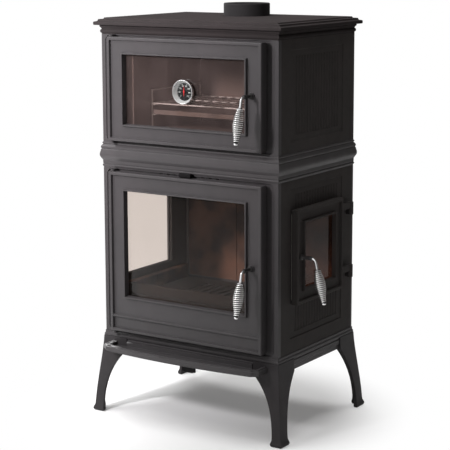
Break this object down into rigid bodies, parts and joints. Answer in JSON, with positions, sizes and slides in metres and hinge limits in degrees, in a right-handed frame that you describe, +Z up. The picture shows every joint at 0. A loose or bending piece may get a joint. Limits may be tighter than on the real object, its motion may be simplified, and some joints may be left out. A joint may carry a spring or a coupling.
{
  "type": "wood-burning range cooker",
  "caption": "Free-standing cast iron wood-burning range cooker: glazed firebox door, glazed side door, glazed oven above, coil-grip handles, moulded cornices and curved legs.",
  "frame": {"origin": "middle of the whole outline, handles included, at floor level", "axes": "+X to the right, seen from the front, where the side door is; the front doors face -Y; +Z up"},
  "size_m": [0.7926, 0.6076, 1.312],
  "materials": {
    "casing_iron": "satin blackened cast iron",
    "moulding_iron": "satin blackened cast iron",
    "leg_iron": "satin blackened cast iron",
    "collar_iron": "matt blackened cast iron",
    "door_iron": "satin blackened cast iron",
    "fire_iron": "sooty cast iron",
    "bolt_steel": "dulled steel",
    "hinge_steel": "dark steel",
    "sheet_steel": "heat-toned sheet steel",
    "rack_wire": "bright wire",
    "firebrick": "fired brick",
    "window_glass": "clear heat-proof glass",
    "seal_rope": "glass fibre rope",
    "air_control": "matt black",
    "bright_chrome": "polished plating",
    "grip_wire": "bright nickel wire",
    "dial_black": "matt black with white marks",
    "needle_red": "red"
  },
  "bodies": {
    "stove": {"base_casting": "casing_iron", "leg_front_left": "leg_iron", "leg_front_right": "leg_iron", "leg_rear_left": "leg_iron", "leg_rear_right": "leg_iron", "casting_bolts": "bolt_steel", "lower_front_frame": "casing_iron", "lower_left_panel": "casing_iron", "lower_right_panel": "casing_iron", "lower_back_panel": "casing_iron", "middle_cornice": "moulding_iron", "upper_front_frame": "casing_iron", "upper_left_panel": "casing_iron", "upper_right_panel": "casing_iron", "upper_back_panel": "casing_iron", "top_plate": "moulding_iron", "flue_collar": "collar_iron", "tie_rods": "bolt_steel", "ash_lip": "moulding_iron", "ash_pan": "sheet_steel", "grate": "fire_iron", "log_guard": "fire_iron", "fire_bricks": "firebrick", "baffle_plate": "fire_iron", "oven_box": "sheet_steel", "rack_stand": "rack_wire", "oven_rack": "rack_wire", "drip_tray": "sheet_steel", "left_window_frame": "casing_iron", "left_window_glass": "window_glass", "left_window_screws": "bolt_steel", "front_hinge_pins": "hinge_steel", "side_hinges": "hinge_steel"},
    "oven_door": {"oven_door": "door_iron", "oven_glass": "window_glass", "oven_seal": "seal_rope", "oven_glass_clips": "hinge_steel", "thermometer_case": "bright_chrome", "thermometer_dial": "dial_black", "thermometer_lens": "window_glass"},
    "thermometer_needle": {"thermometer_needle": "needle_red"},
    "oven_handle": {"oven_handle": "bright_chrome", "oven_grip_coil": "grip_wire", "oven_latch_cam": "hinge_steel"},
    "fire_door": {"fire_door": "door_iron", "fire_glass": "window_glass", "fire_seal": "seal_rope", "fire_glass_clips": "hinge_steel"},
    "fire_handle": {"fire_handle": "bright_chrome", "fire_grip_coil": "grip_wire", "fire_latch_cam": "hinge_steel"},
    "side_door": {"side_door": "door_iron", "side_glass": "window_glass", "side_seal": "seal_rope", "side_glass_clips": "hinge_steel"},
    "side_handle": {"side_handle": "bright_chrome", "side_grip_coil": "grip_wire", "side_latch_cam": "hinge_steel"},
    "upper_air_slide": {"upper_air_slide": "air_control"},
    "lower_air_slide": {"lower_air_slide": "air_control"}
  },
  "joints": [
    {"name": "oven_door_hinge", "type": "hinge", "parent": "stove", "child": "oven_door", "pos_m": [-0.31326, -0.20675, 1.0525], "axis": [0, 0, 1], "range_deg": [-110, 0]},
    {"name": "thermometer_needle_turn", "type": "hinge", "parent": "oven_door", "child": "thermometer_needle", "pos_m": [-0.03726, -0.21024, 1.0565], "axis": [0, -1, 0], "range_deg": [-135, 135]},
    {"name": "oven_handle_turn", "type": "hinge", "parent": "oven_door", "child": "oven_handle", "pos_m": [0.20775, -0.22024, 1.0575], "axis": [0, -1, 0], "range_deg": [0, 90]},
    {"name": "fire_door_hinge", "type": "hinge", "parent": "stove", "child": "fire_door", "pos_m": [-0.31326, -0.20675, 0.53425], "axis": [0, 0, 1], "range_deg": [-110, 0]},
    {"name": "fire_handle_turn", "type": "hinge", "parent": "fire_door", "child": "fire_handle", "pos_m": [0.20775, -0.22024, 0.53925], "axis": [0, -1, 0], "range_deg": [0, 90]},
    {"name": "side_door_hinge", "type": "hinge", "parent": "stove", "child": "side_door", "pos_m": [0.30174, 0.22875, 0.5645], "axis": [0, 0, 1], "range_deg": [0, 110]},
    {"name": "side_handle_turn", "type": "hinge", "parent": "side_door", "child": "side_handle", "pos_m": [0.31274, -0.09324, 0.5645], "axis": [1, 0, 0], "range_deg": [-90, 0]},
    {"name": "upper_air_slide", "type": "slide", "parent": "stove", "child": "upper_air_slide", "axis": [1, 0, 0], "range_m": [-0.013, 0.013]},
    {"name": "lower_air_slide", "type": "slide", "parent": "stove", "child": "lower_air_slide", "axis": [1, 0, 0], "range_m": [-0.013, 0.013]}
  ]
}
